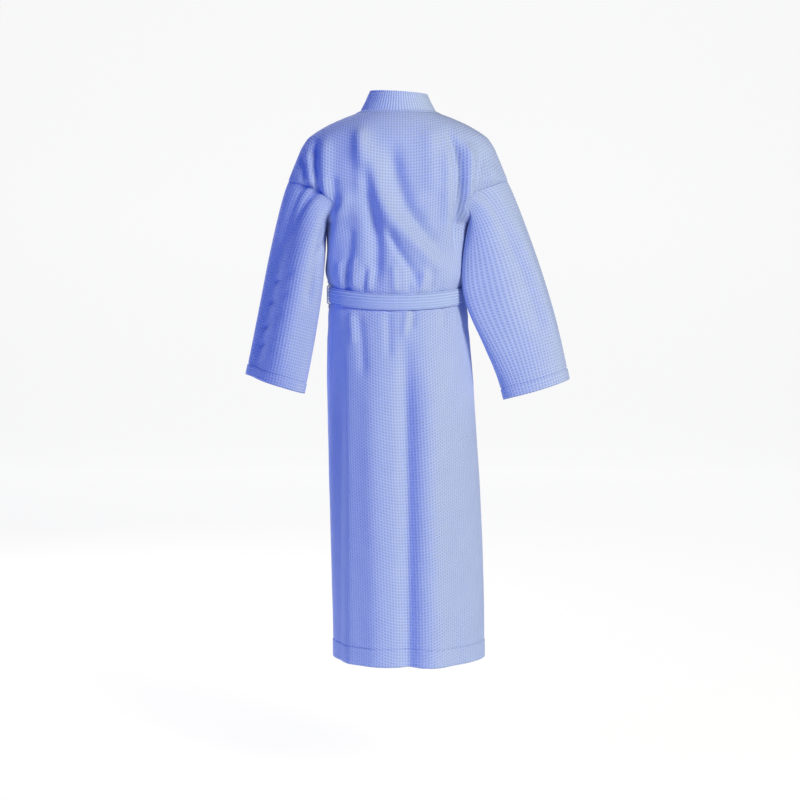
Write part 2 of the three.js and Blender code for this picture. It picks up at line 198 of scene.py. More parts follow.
# Folds seen from behind: width, height, then points of x (to the wearer's left) and height.
back_folds = [
    # from the neck across to the wearer's right hip
    (0.024, 0.0160, [(0.090, -0.010), (0.076, -0.080), (0.062, -0.140), (0.043, -0.195),
        (0.010, -0.250), (-0.040, -0.297), (-0.100, -0.345), (-0.140, -0.385)]),
    (0.017, -0.0140, [(0.084, -0.090), (0.070, -0.165), (0.060, -0.216), (0.050, -0.295),
        (0.050, -0.392), (0.050, -0.412)]),
    (0.019, -0.0150, [(0.016, -0.060), (0.012, -0.110), (0.006, -0.148), (-0.016, -0.216),
        (-0.056, -0.275), (-0.105, -0.335), (-0.135, -0.365)]),
    (0.010, -0.0080, [(0.030, -0.250), (0.000, -0.313), (-0.034, -0.362), (-0.045, -0.405)]),
    (0.020, 0.0060, [(-0.070, -0.030), (-0.074, -0.110), (-0.080, -0.200)]),
    # beside it, towards the wearer's left
    (0.013, 0.0080, [(0.084, -0.030), (0.083, -0.115), (0.082, -0.200)]),
    (0.014, 0.0085, [(0.112, -0.170), (0.130, -0.240), (0.150, -0.330), (0.152, -0.370)]),
    (0.012, -0.0085, [(0.148, -0.140), (0.146, -0.190), (0.134, -0.230)]),
    (0.011, -0.0060, [(0.105, -0.250), (0.110, -0.320), (0.122, -0.395)]),
    (0.008, 0.0055, [(0.128, -0.330), (0.124, -0.408)]),
    (0.007, -0.0045, [(0.112, -0.350), (0.110, -0.408)]),
    (0.008, 0.0050, [(0.098, -0.320), (0.096, -0.408)]),
    (0.007, -0.0045, [(0.074, -0.340), (0.076, -0.408)]),
    (0.007, 0.0040, [(0.062, -0.345), (0.064, -0.408)]),
    (0.008, 0.0045, [(0.010, -0.340), (0.006, -0.410)]),
    (0.007, -0.0040, [(-0.022, -0.355), (-0.026, -0.410)]),
    (0.008, 0.0045, [(-0.060, -0.350), (-0.050, -0.408)]),
    (0.007, -0.0040, [(-0.078, -0.350), (-0.072, -0.405)]),
    (0.008, 0.0040, [(-0.108, -0.370), (-0.100, -0.405)]),
    # down the skirt, from the belt to the hem
    (0.019, -0.0190, [(-0.016, -0.440), (-0.018, -0.620), (-0.022, -0.900), (-0.026, -1.600)]),
    (0.034, 0.0080, [(0.056, -0.480), (0.056, -0.700), (0.050, -0.960), (0.044, -1.600)]),
    (0.034, 0.0150, [(-0.072, -0.440), (-0.076, -0.700), (-0.082, -1.000), (-0.090, -1.600)]),
    (0.018, -0.0120, [(0.136, -0.440), (0.138, -0.700), (0.140, -0.950), (0.142, -1.600)]),
    (0.018, 0.0060, [(0.112, -0.470), (0.110, -0.700), (0.106, -0.950), (0.102, -1.600)]),
    (0.010, -0.0050, [(0.088, -0.440), (0.082, -0.520), (0.076, -0.600)]),
    (0.009, 0.0050, [(0.102, -0.440), (0.100, -0.530)]),
    (0.007, -0.0050, [(-0.036, -0.440), (-0.030, -0.490)]),
    (0.007, 0.0045, [(-0.020, -0.440), (-0.012, -0.510)]),
    (0.007, -0.0050, [(-0.104, -0.436), (-0.098, -0.490)]),
    (0.009, 0.0045, [(-0.122, -0.436), (-0.122, -0.520)]),
    (0.009, -0.0040, [(0.022, -0.440), (0.020, -0.560)]),
]
arm_folds = [
    # where the right sleeve leaves the back
    (0.008, -0.0130, [(-0.106, -0.035), (-0.126, -0.083), (-0.134, -0.130), (-0.135, -0.236),
        (-0.130, -0.340)]),
    (0.014, 0.0080, [(-0.104, -0.070), (-0.110, -0.130), (-0.110, -0.236), (-0.104, -0.300)]),
    (0.014, 0.0150, [(-0.152, -0.060), (-0.160, -0.120), (-0.158, -0.190), (-0.156, -0.270)]),
    (0.009, -0.0080, [(-0.192, -0.085), (-0.184, -0.120), (-0.172, -0.165), (-0.166, -0.240),
        (-0.165, -0.290)]),
    (0.012, 0.0060, [(-0.215, -0.110), (-0.208, -0.160), (-0.195, -0.230)]),
    # where the left sleeve leaves the back
    (0.010, -0.0095, [(0.186, -0.040), (0.189, -0.120), (0.176, -0.200), (0.164, -0.290)]),
    (0.014, 0.0080, [(0.160, -0.050), (0.164, -0.130), (0.156, -0.220)]),
    (0.010, -0.0070, [(0.216, -0.085), (0.209, -0.145), (0.192, -0.216), (0.184, -0.290)]),
    (0.009, 0.0080, [(0.203, -0.080), (0.200, -0.140), (0.186, -0.210)]),
]
front_folds = [
    (0.016, 0.0080, [(0.110, -0.040), (0.108, -0.140), (0.080, -0.250), (0.030, -0.350),
        (-0.030, -0.400)]),
    (0.012, -0.0070, [(0.130, -0.120), (0.110, -0.230), (0.070, -0.330), (0.020, -0.395)]),
    (0.013, 0.0070, [(-0.110, -0.040), (-0.118, -0.150), (-0.112, -0.270), (-0.104, -0.380)]),
    (0.010, -0.0065, [(-0.134, -0.080), (-0.136, -0.190), (-0.122, -0.300), (-0.110, -0.390)]),
    (0.009, -0.0080, [(0.150, -0.060), (0.146, -0.140), (0.140, -0.230)]),
    (0.010, -0.0060, [(-0.150, -0.350), (-0.128, -0.405)]),
    (0.009, 0.0055, [(0.100, -0.340), (0.086, -0.405)]),
    (0.018, 0.0090, [(-0.080, -0.450), (-0.050, -0.600), (-0.030, -0.850), (-0.040, -1.500)]),
    (0.014, -0.0080, [(-0.060, -0.450), (-0.010, -0.600), (0.020, -0.850), (0.015, -1.500)]),
    (0.020, 0.0080, [(-0.050, -0.450), (0.040, -0.580), (0.080, -0.800), (0.080, -1.500)]),
    (0.016, -0.0070, [(-0.126, -0.450), (-0.120, -0.620), (-0.110, -0.850), (-0.115, -1.500)]),
]


# The belt dips towards the middle of the back; the cloth is drawn in under it and stands out beside it.
def belt_level(angle):
    return -0.4105 - 0.017 * np.clip(np.cos(angle), 0, 1) ** 1.5 - 0.008 * np.clip(-np.cos(angle), 0, 1)


# How far the cloth stands off the plain shape at an angle round the body and a height.
def body_lift(angle, z):
    x = drift(z) + half_width(z) * np.sin(angle)
    facing = np.cos(angle)
    total = np.zeros(np.shape(x))
    for width, height, line in back_folds + arm_folds:
        total += fold(x, z, width, height, line)
    total *= np.clip(facing * 2.2, 0, 1)
    ahead = np.zeros(np.shape(x))
    for width, height, line in front_folds:
        ahead += fold(x, z, width, height, line)
    total += ahead * np.clip(-facing * 2.2, 0, 1)
    off = z - belt_level(angle)
    total += (-0.0045 * np.exp(-((off / 0.021) ** 2)) + 0.0042 * np.exp(-(((off - 0.042) / 0.022) ** 2)))
    total += 0.0034 * np.exp(-(((off + 0.042) / 0.024) ** 2))
    total += 0.0060 * np.sin(angle) ** 4 * np.exp(-(((z + 0.352) / 0.030) ** 2))
    wave = 0.4 * np.sin(3 * angle + 0.6) + 0.35 * np.sin(5 * angle + 2.1) + 0.25 * np.sin(9 * angle + 4 + z)
    total += wave * (0.0015 + 0.0030 * ease(-z, 0.45, 1.0)) * ease(-z, 0.46, 0.62)
    total += 0.0010 * ripple(angle * 0.16, z, 0.016, 3) * ease(-z, 0.04, 0.10)
    seam = np.hypot(half_width(z) * np.cos(angle), half_depth(z) * np.sin(angle))
    seam = seam * (side_angle(z) - np.arctan2(np.abs(np.sin(angle)), np.abs(np.cos(angle))))
    total += -0.0018 * np.exp(-((seam / 0.0022) ** 2)) - 0.0007 * np.exp(-(((seam - 0.007) / 0.0013) ** 2))
    total += 0.007 * np.clip(np.sin(angle), 0, 1) ** 4 * ease(-z, 0.60, 1.10)
    return total


def on_body(angle, z, out=0.0):
    a, b, s, c = half_width(z), half_depth(z), np.sin(angle), np.cos(angle)
    fall = a * np.interp(z, fine_z, slope_at[1]) * c * c + b * np.interp(z, fine_z, slope_at[0]) * s * s
    normal = np.stack([b * s, a * c, -fall * ease(z, -0.13, -0.08)], -1)
    normal /= np.linalg.norm(normal, axis=-1, keepdims=True)
    plain = np.stack([drift(z) + a * s, b * c, z], -1)
    return plain + normal * (body_lift(angle, z) + out)[..., None]


# Where a point of the body lies on the flat cloth, in metres, for the weave.
def weave_on_body(angle, z):
    turn = np.where(np.cos(angle) > 0, angle, angle - np.pi)
    steps = (np.arange(8) + 0.5) / 8
    spans = [np.hypot(half_width(z) * np.cos(turn * t), half_depth(z) * np.sin(turn * t)) for t in steps]
    side = np.sin(angle) ** 2
    down = np.interp(z, fine_z, length_at[1]) * (1 - side) + np.interp(z, fine_z, length_at[0]) * side
    return np.stack([turn * np.mean(spans, axis=0), down], -1)


# Even steps with close ones round the given places, where a seam or a stitch line runs.
def steps_for(length, step, fine=(), close=0.0009, many=4):
    rows = set(np.round(np.linspace(0, length, max(int(round(length / step)), 2) + 1), 6))
    for spot in fine:
        rows |= {round(spot + k * close, 6) for k in range(-many, many + 1)}
    kept = sorted(r for r in rows if 0 <= r <= length)
    return np.array([r for i, r in enumerate(kept) if i == 0 or r - kept[i - 1] > 2e-4 or r == length])


# Sews a grid of cloth from its shape in space and its place on the flat weave.
def sew(name, across, down, place, weave, thick=cloth, ring=False, soft_edge=0.0):
    bm = bmesh.new()
    bmesh.ops.create_grid(bm, x_segments=len(across) - 1, y_segments=len(down) - 1, size=0.5)
    co = np.array([v.co[:2] for v in bm.verts])
    i = np.rint((co[:, 0] + 0.5) * (len(across) - 1)).astype(int)
    j = np.rint((0.5 - co[:, 1]) * (len(down) - 1)).astype(int)
    uu, vv = np.meshgrid(across, down)
    placed = place(uu, vv)[j, i]
    flat = weave(uu, vv)[j, i]
    layer = bm.loops.layers.uv.new("weave")
    for index, vert in enumerate(bm.verts):
        vert.co = placed[index]
        vert.index = index
    for face in bm.faces:
        for loop in face.loops:
            loop[layer].uv = flat[loop.vert.index]
    if ring:
        bmesh.ops.remove_doubles(bm, verts=bm.verts, dist=1e-5)
    mesh = bpy.data.meshes.new(name)
    bm.to_mesh(mesh)
    bm.free()
    mesh.polygons.foreach_set("use_smooth", [True] * len(mesh.polygons))
    piece = bpy.data.objects.new(name, mesh)
    scene.collection.objects.link(piece)
    solid = piece.modifiers.new("cloth", "SOLIDIFY")
    solid.thickness = thick
    solid.offset = -1
    if soft_edge:
        round_edge = piece.modifiers.new("soft_edge", "BEVEL")
        round_edge.width = soft_edge
        round_edge.segments = 2
        round_edge.limit_method = "ANGLE"
        round_edge.angle_limit = math.radians(50)
    return piece


# Cotton cloth of a woven relief: raised walls round sunk cells, or upright ribs.
# Its colour carries painted shade: the sunk cells and grooves take the darker colour (deep), as if shade lay
# in them, and the raised parts take the paler one (light).
def cotton(name, light, deep, cell=(0.0062, 0.0068), relief=0.0012, ribs=0.0, rows=0.0):
    made = bpy.data.materials.new(name)
    made.use_nodes = True
    nodes, links = made.node_tree.nodes, made.node_tree.links
    shader = nodes["Principled BSDF"]
    shader.inputs["Roughness"].default_value = 0.9
    shader.inputs["Sheen Weight"].default_value = 0.22
    shader.inputs["Sheen Roughness"].default_value = 0.5
    shader.inputs["Sheen Tint"].default_value = (0.75, 0.84, 1.0, 1)
    shader.inputs["Specular IOR Level"].default_value = 0.2
    uv = nodes.new("ShaderNodeUVMap")
    uv.uv_map = "weave"
    split = nodes.new("ShaderNodeSeparateXYZ")
    links.new(uv.outputs["UV"], split.inputs[0])

    def sums(kind, a, b=None):
        node = nodes.new("ShaderNodeMath")
        node.operation = kind
        for socket, value in zip(node.inputs, (a, b)):
            if isinstance(value, (int, float)):
                socket.default_value = value
            elif value is not None:
                links.new(value, socket)
        return node.outputs[0]

    def walls(axis, pitch, sharp):
        wave = sums("COSINE", sums("MULTIPLY", split.outputs[axis], math.pi / pitch))
        return sums("POWER", sums("ABSOLUTE", wave), sharp)

    if ribs:
        height = sums("ADD", walls(0, ribs, 1.5), sums("MULTIPLY", walls(1, cell[1], 3), 0.2))
    elif rows:
        row_walls = sums("MULTIPLY", walls(1, rows, 1.2), 0.9)
        height = sums("MAXIMUM", row_walls, sums("MULTIPLY", walls(0, 0.0028, 2), 0.7))
    else:
        height = sums("MAXIMUM", walls(0, cell[0], 1.7), walls(1, cell[1], 1.9))
    fuzz = nodes.new("ShaderNodeTexNoise")
    fuzz.inputs["Scale"].default_value = 900
    fuzz.inputs["Detail"].default_value = 3
    links.new(uv.outputs["UV"], fuzz.inputs["Vector"])
    wear = nodes.new("ShaderNodeTexNoise")
    wear.inputs["Scale"].default_value = 14
    wear.inputs["Detail"].default_value = 4
    links.new(uv.outputs["UV"], wear.inputs["Vector"])
    # Painted shade: the relief height darkens the colour in the sunk cells and grooves. Yarn fuzz and a slow
    # random wear noise also vary the tone, and that part is real.
    painted_shade_and_tone = sums("ADD", sums("MULTIPLY", height, 0.8), sums("MULTIPLY", fuzz.outputs["Fac"], 0.22))
    painted_shade_and_tone = sums("ADD", painted_shade_and_tone, sums("MULTIPLY", sums("SUBTRACT", wear.outputs["Fac"], 0.5), 0.25))
    painted_relief_shade = nodes.new("ShaderNodeMix")
    painted_relief_shade.data_type = "RGBA"
    painted_relief_shade.inputs["A"].default_value = (*deep, 1)
    painted_relief_shade.inputs["B"].default_value = (*light, 1)
    links.new(painted_shade_and_tone, painted_relief_shade.inputs["Factor"])
    links.new(painted_relief_shade.outputs["Result"], shader.inputs["Base Color"])
    bump = nodes.new("ShaderNodeBump")
    bump.inputs["Distance"].default_value = relief
    bump.inputs["Strength"].default_value = 0.85
    links.new(sums("ADD", height, sums("MULTIPLY", fuzz.outputs["Fac"], 0.25)), bump.inputs["Height"])
    links.new(bump.outputs["Normal"], shader.inputs["Normal"])
    return made


# The darker colour is painted shade in the waffle's sunk cells.
waffle = cotton("waffle_cotton", (0.43, 0.53, 0.88), (0.24, 0.33, 0.77))
panel_length = 1.2425
back_hem = 0.040


def hem_mark(down, length, hem):
    stitch = np.exp(-(((down - (length - hem)) / 0.0014) ** 2))
    return 0.0011 * ease(down, length - hem - 0.001, length - hem + 0.002) - 0.0020 * stitch


# The middle columns run straight down and only the outer ones draw in beside the armholes.
def back_angle(u, z):
    turn = (1 - 2 * u) * np.pi / 2
    beyond = np.clip(np.abs(turn) - 0.75, 0, None) * (side_angle(z) - 0.75) / (np.pi / 2 - 0.75)
    return np.sign(turn) * (np.minimum(np.abs(turn), 0.75) + beyond)


def back_place(u, v):
    z = -0.0005 - v
    return on_body(back_angle(u, z), z, hem_mark(v, panel_length, back_hem))


def back_weave(u, v):
    return weave_on_body(back_angle(u, -v), -v)


edge_lines = steps_for(0.5, 0.0041, fine=(0.001, 0.007, 0.493, 0.499), close=0.001, many=2) / 0.5
armhole_rows = -0.0005 - (armhole_top + armhole_bottom) / 2
armhole_rows = armhole_rows - (armhole_top - armhole_bottom) / 2 * np.cos(np.linspace(0, np.pi, 37))
panel_rows = steps_for(panel_length, 0.0055, fine=(panel_length - back_hem,), close=0.001)
panel_rows = panel_rows[(panel_rows < armhole_rows[0] - 0.0008) | (panel_rows > armhole_rows[-1] + 0.0008)]
panel_rows = np.sort(np.concatenate([panel_rows, armhole_rows]))
back = sew("back", edge_lines, panel_rows, back_place, back_weave)
back.data.materials.append(waffle)
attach(back, "robe")
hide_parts("back_yoke", "back_waist", "back_skirt_upper", "back_skirt_lower")

# Front panels, of the same cotton: the left one lies over the right one and both are closed by the
# belt. The left one's skirt can swing open, so it bends below the belt.


def free_edge(z):
    above = 0.046 - 0.086 * ease(-z, 0.010, 0.420)
    below = -0.040 - 0.006 * (belt_z - z) / 0.823 + drift(z)
    return np.where(z > belt_z, above, below)


def band_seam(z):
    lower = free_edge(z) + 0.045 * np.where(z > belt_z, 1.06, 1.0)
    return 0.086 + (lower - 0.086) * ease(-z, 0, 0.070)


def tuck_in(x, z):
    return -0.0053 * ease(x, free_edge(z) - 0.046, free_edge(z) - 0.006)


def front_left_at(u, v):
    z = -0.0005 - v
    inner = front_angle(band_seam(z) - 0.004, z)
    return inner + (np.pi - side_angle(z) - inner) * u, z


def front_right_at(u, v):
    z = -0.0005 - v
    inner = front_angle(2 * drift(z) - band_seam(z) + 0.004, z)
    outer = np.pi + side_angle(z)
    return outer + (inner - outer) * u, z


def front_left_place(u, v):
    angle, z = front_left_at(u, v)
    return on_body(angle, z, hem_mark(v, panel_length, back_hem))


def front_right_place(u, v):
    angle, z = front_right_at(u, v)
    x = drift(z) + half_width(z) * np.sin(angle)
    return on_body(angle, z, tuck_in(x, z) + hem_mark(v, panel_length, back_hem))


left_lines = steps_for(0.27, 0.0045, fine=(0.262, 0.269), close=0.001, many=2) / 0.27
right_lines = steps_for(0.27, 0.0045, fine=(0.001, 0.008), close=0.001, many=2) / 0.27
front_left = sew("front_left", left_lines, panel_rows, front_left_place,
                 lambda u, v: weave_on_body(*front_left_at(u, v)))
front_right = sew("front_right", right_lines, panel_rows, front_right_place,
                  lambda u, v: weave_on_body(*front_right_at(u, v)))
front_left.data.materials.append(waffle)
front_right.data.materials.append(waffle)
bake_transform(front_left)
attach(front_right, "robe")
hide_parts("front_left_bodice", "front_left_skirt")
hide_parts("front_right_bodice", "front_right_skirt")

# Sleeves: wide straight tubes of waffle cotton, sewn to the dropped armholes, with a turned hem at
# the wrist. They hang beside the body, slightly bowed, and bend at the seam when an arm is lifted.
sleeve_length = 0.412
sleeve_hem = 0.024


# One sleeve as a grid that starts on the armhole. Its stance says how far it swings out, bows and goes
# back, how wide it is at the top and the hem, and how far its back face leans or lies over the back.
def sleeve_grid(side, swing, bow, back_swing, upper, hem, tilt_hem, overlap, lean, stretch):
    centre = (armhole_top + armhole_bottom) / 2
    half_height = (armhole_top - armhole_bottom) / 2

    def place(u, v):
        angle = side * 2 * np.pi * u
        turn = angle % (2 * np.pi)
        run = v / sleeve_length
        z0 = centre + half_height * np.cos(angle)
        y0 = armhole_depth * np.sin(angle)
        around = np.arccos(np.clip(y0 / half_depth(z0), -1, 1)) * side
        start = on_body(around, z0)
        tilt = np.radians(tilt_hem + (45 - tilt_hem) * (1 - run) ** 3)
        half = upper + (hem - upper) * ease(run, 0, 0.8)
        deep = 0.072 - 0.014 * run
        reach = 0.208 + math.sin(swing) * v * stretch + bow * np.sin(np.pi * run**1.4)
        x = side * (reach + half * np.cos(angle) * np.cos(tilt))
        y = deep * np.sin(angle) + back_swing * ease(run, 0, 0.7)
        y = y - lean * half * np.cos(angle) * ease(run, 0, 0.35)
        z = centre - math.cos(swing) * v * stretch + half * np.cos(angle) * np.sin(tilt)
        out = np.stack([np.cos(angle) * side, np.sin(angle), np.zeros(x.shape)], -1)
        push = np.zeros(x.shape)
        for width, height, line in arm_folds:
            push += fold(x, z, width, height, line)
        push *= np.clip(np.sin(angle) * 1.8, 0, 1)
        for width, height, line in sleeve_folds[side]:
            push += fold(turn * 0.068, -v, width, height, line)
        away_from_join = ease(turn, 0, 0.4) * ease(-turn, -6.28, -5.88)
        push += 0.0011 * ripple(turn * 0.068, v, 0.018, 5 + side) * away_from_join
        push *= 1 - 0.6 * ease(run, 0.80, 1)
        push += hem_mark(v, sleeve_length, sleeve_hem)
        tube = np.stack([x, y, z], -1) + out * push[..., None]
        over = np.exp(-(((np.degrees(turn) - 138) / 36) ** 2)) * np.exp(-(((run - 0.45) / 0.38) ** 2))
        tube[..., 0] -= side * overlap * over
        tube[..., 1] += 0.2 * overlap * over
        t = 1 - (1 - np.clip(run / 0.42, 0, 1)[..., None]) ** 2
        seam = np.exp(-((v / 0.0025) ** 2)) * -0.0008
        return start * (1 - t) + tube * t + out * seam[..., None]

    def weave(u, v):
        points = place(u, v)
        along = np.linalg.norm(np.diff(points, axis=0), axis=-1)
        along = np.vstack([np.zeros((1, points.shape[1])), np.cumsum(along, axis=0)])
        return np.stack([u * 0.43, along - along[-1] + sleeve_length], -1)

    return place, weave


# Folds round each sleeve: width, height, then points of distance round it from its outer side
# (0.107 is the middle of its back face) and distance down it.
sleeve_folds = {
    1: [
        (0.030, 0.0150, [(0.122, 0.060), (0.118, -0.060), (0.114, -0.160), (0.108, -0.300),
            (0.104, -0.520)]),
        (0.022, -0.0110, [(0.062, 0.020), (0.058, -0.100), (0.054, -0.200), (0.050, -0.300),
            (0.048, -0.520)]),
        (0.012, -0.0070, [(0.160, -0.040), (0.156, -0.120), (0.152, -0.230)]),
        (0.006, -0.0050, [(0.110, -0.150), (0.080, -0.185), (0.045, -0.200)]),
        (0.006, -0.0045, [(0.106, -0.200), (0.076, -0.232), (0.040, -0.245)]),
        (0.006, -0.0045, [(0.100, -0.245), (0.070, -0.285), (0.036, -0.305)]),
        (0.006, -0.0040, [(0.092, -0.300), (0.066, -0.330), (0.036, -0.345)]),
        (0.008, -0.0070, [(0.190, -0.030), (0.180, -0.080), (0.160, -0.120)]),
        (0.014, -0.0080, [(0.330, -0.050), (0.320, -0.160), (0.320, -0.300)]),
        (0.014, 0.0070, [(0.290, -0.060), (0.292, -0.180), (0.285, -0.330)]),
        (0.010, -0.0070, [(0.225, -0.020), (0.250, -0.060), (0.280, -0.090)]),
    ],
    -1: [
        (0.016, -0.0030, [(0.190, -0.040), (0.188, -0.120), (0.184, -0.220), (0.180, -0.320)]),
        (0.020, 0.0060, [(0.120, -0.040), (0.116, -0.160), (0.112, -0.300)]),
        (0.012, -0.0045, [(0.088, -0.060), (0.080, -0.180), (0.074, -0.320)]),
        (0.015, 0.0050, [(0.050, -0.060), (0.046, -0.200), (0.044, -0.340)]),
        (0.014, -0.0080, [(0.330, -0.050), (0.320, -0.160), (0.320, -0.300)]),
        (0.014, 0.0070, [(0.290, -0.060), (0.292, -0.180), (0.285, -0.330)]),
        (0.010, -0.0070, [(0.225, -0.020), (0.250, -0.060), (0.280, -0.090)]),
    ],
}
sleeve_rows = steps_for(sleeve_length, 0.0045, fine=(0.0, sleeve_length - sleeve_hem), close=0.001)
for side, word, values in (
    (1, "left", (math.radians(10.3), -0.003, -0.018, 0.068, 0.073, 16, 0.0, 0.64, 1.02)),
    (-1, "right", (math.radians(14.2), 0.004, 0.036, 0.068, 0.077, 18, 0.060, 0.0, 1.06)),
):
    place, weave = sleeve_grid(side, *values)
    sleeve = sew("sleeve_" + word, np.linspace(0, 1, 113), sleeve_rows, place, weave, ring=True)
    sleeve.data.materials.append(waffle)
    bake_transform(sleeve)
    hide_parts("sleeve_" + word)

# Neckband: a doubled band of the same cloth, cut so that its ribs stand upright. It stands round the
# neck and runs down both front edges to the hem.
# The darker colour is painted shade in the grooves between the ribs.
band_cloth = cotton("ribbed_band", (0.50, 0.60, 0.92), (0.25, 0.36, 0.80), relief=0.0010, ribs=0.0056)
band_thick = 0.0042
band_lines = steps_for(0.045, 0.0045, fine=(0.004, 0.041), close=0.001, many=2) / 0.045


def band_stitch(u):
    return -0.0009 * (np.exp(-(((u - 0.09) / 0.028) ** 2)) + np.exp(-(((u - 0.91) / 0.028) ** 2)))


def back_band_place(u, v):
    angle = front_angle(band_seam(-0.0005), -0.0005) * (1 - 2 * u) * 0.998
    z = 0.045 - v
    tilt = 0.004 * np.sin(angle) * np.clip(z / 0.045, 0, 1)
    out = 0.0012 + band_stitch(v / 0.045) + 0.0006 * ripple(angle * 0.07, z, 0.012, 8)
    return on_body(angle, z + tilt - 0.0015, out)


band_back = sew("neckband_back", np.linspace(0, 1, 97), band_lines * 0.0465, back_band_place,
                lambda u, v: np.stack([u * 0.262, v], -1), band_thick, soft_edge=0.0014)
band_back.data.materials.append(band_cloth)
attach(band_back, "robe")
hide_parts("neckband_back")


def front_band(side):
    def place(u, v):
        z = -0.0005 - v
        across = 1 - u if side > 0 else u
        seam = band_seam(z)
        angle = front_angle(seam, z)
        mirrored = angle if side > 0 else 2 * np.pi - angle
        standing = on_body(mirrored, z + 0.045 * across * (1 + 0.09 * np.sin(mirrored)) - 0.001, 0.001)
        x = seam + (free_edge(z) - seam) * across
        flat_angle = front_angle(x if side > 0 else 2 * drift(z) - x, z)
        out = 0.0012 + band_stitch(across)
        if side < 0:
            out = out + tuck_in(2 * drift(z) - x, z) - 0.0012 * ease(-z, 0.05, 0.09)
        lying = on_body(flat_angle, z, out)
        turned = np.sin((np.pi / 2) * np.sqrt(np.clip(-z / 0.080, 0, 1)))[..., None]
        return standing * (1 - turned) + lying * turned

    return place


band_rows = steps_for(panel_length, 0.0055, fine=(panel_length - 0.012,), close=0.001)
for side, word, nodes_for in (
    (1, "left", ("neckband_left", "neckband_left_lower")),
    (-1, "right", ("neckband_right",)),
):
    band = sew("neckband_" + word, band_lines, band_rows, front_band(side),
               lambda u, v: np.stack([v, u * 0.045], -1), band_thick, soft_edge=0.0014)
    band.data.materials.append(band_cloth)
    if side > 0:
        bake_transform(band)
    else:
        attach(band, "robe")
    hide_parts(*nodes_for)

# Belt: a long doubled strip, topstitched in rows, wrapped once round the waist. It dips at the back
# and is drawn tight, so that the cloth gathers above and below it.
# The darker colour is painted shade in the sunk lines between the raised rows.
belt_cloth = cotton("stitched_belt", (0.46, 0.57, 0.91), (0.24, 0.35, 0.79), relief=0.0012, rows=0.0062)
belt_rows = np.linspace(0, 0.036, 37)
stitch_rows = (0.003, 0.0105, 0.018, 0.0255, 0.033)


def belt_relief(v):
    rows = sum(np.exp(-(((v - row) / 0.0012) ** 2)) for row in stitch_rows)
    return -0.0012 * rows - 0.0012 * ((v - 0.018) / 0.018) ** 2


def belt_place(u, v):
    angle = -2 * np.pi * u
    z = belt_level(angle) + 0.018 - v
    a, b, s, c = half_width(belt_z), half_depth(belt_z), np.sin(angle), np.cos(angle)
    normal = np.stack([b * s, a * c, np.zeros(s.shape)], -1)
    normal /= np.linalg.norm(normal, axis=-1, keepdims=True)
    out = 0.0058 + belt_relief(v) + 0.0008 * ripple(u * 0.86, v, 0.020, 12)
    return np.stack([drift(z) + a * s, b * c, z], -1) + normal * out[..., None]


belt = sew("belt_wrap", np.linspace(0, 1, 241), belt_rows, belt_place,
           lambda u, v: np.stack([u * 0.87, v], -1), 0.004, ring=True, soft_edge=0.0012)
belt.data.materials.append(belt_cloth)
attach(belt, "robe")
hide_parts("belt_wrap")

# Knot and the belt's two ends: the ends cross in one flat knot on the wearer's right and hang from it.
knot_x = -0.099


def knot_place(u, v):
    angle = front_angle(knot_x + 0.033 * (2 * u - 1), belt_z)
    z = belt_z + 0.026 * (1 - 2 * v)
    a, b, s, c = half_width(belt_z), half_depth(belt_z), np.sin(angle), np.cos(angle)
    normal = np.stack([b * s, a * c, np.zeros(s.shape)], -1)
    normal /= np.linalg.norm(normal, axis=-1, keepdims=True)
    dome = np.sqrt(np.clip(np.sin(np.pi * u) * np.sin(np.pi * v), 0, 1))
    slant = (u - 0.5) * 0.9 + (v - 0.5) * 0.35
    over = 0.0055 * (ease(slant, -0.30, -0.22) - ease(slant, 0.20, 0.28))
    crease = -0.003 * np.exp(-(((slant + 0.02) / 0.03) ** 2))
    crease = crease - 0.002 * np.exp(-(((slant - 0.12) / 0.02) ** 2))
    out = 0.0058 + dome * (0.016 + over + crease)
    return np.stack([drift(z) + a * s, b * c, z], -1) + normal * out[..., None]


knot = sew("belt_knot", np.linspace(0, 1, 41), np.linspace(0, 1, 33), knot_place,
           lambda u, v: np.stack([u * 0.09, v * 0.07], -1), 0.0025, soft_edge=0.0008)
knot.data.materials.append(belt_cloth)
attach(knot, "robe")
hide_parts("belt_knot")

for word, x_middle, length, hinge_x in (("outer", -0.1185, 0.360, -0.118), ("inner", -0.0795, 0.325, -0.080)):
    def tail_place(u, v, x_middle=x_middle):
        z = -0.4445 - v
        sway = 0.004 * np.sin(9 * v + 40 * x_middle)
        angle = front_angle(x_middle + sway + 0.018 * (2 * u - 1), z)
        a, b, s, c = half_width(z), half_depth(z), np.sin(angle), np.cos(angle)
        normal = np.stack([b * s, a * c, np.zeros(s.shape)], -1)
        normal /= np.linalg.norm(normal, axis=-1, keepdims=True)
        pinch = 0.003 * np.cos(np.pi * (2 * u - 1)) * (1 - ease(v, 0, 0.10))
        out = 0.0105 + 0.0135 * ease(v, 0, 0.11) + belt_relief(u * 0.036) + pinch + 0.001 * np.sin(17 * v)
        return np.stack([drift(z) + a * s, b * c, z], -1) + normal * out[..., None]

    tail_rows = np.linspace(0, length, int(length / 0.005))
    tail = sew("belt_tail_" + word, belt_rows / 0.036, tail_rows, tail_place,
               lambda u, v: np.stack([v, u * 0.036], -1), 0.004, soft_edge=0.0012)
    tail.data.materials.append(belt_cloth)
    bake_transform(tail)
    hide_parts("belt_tail_" + word)

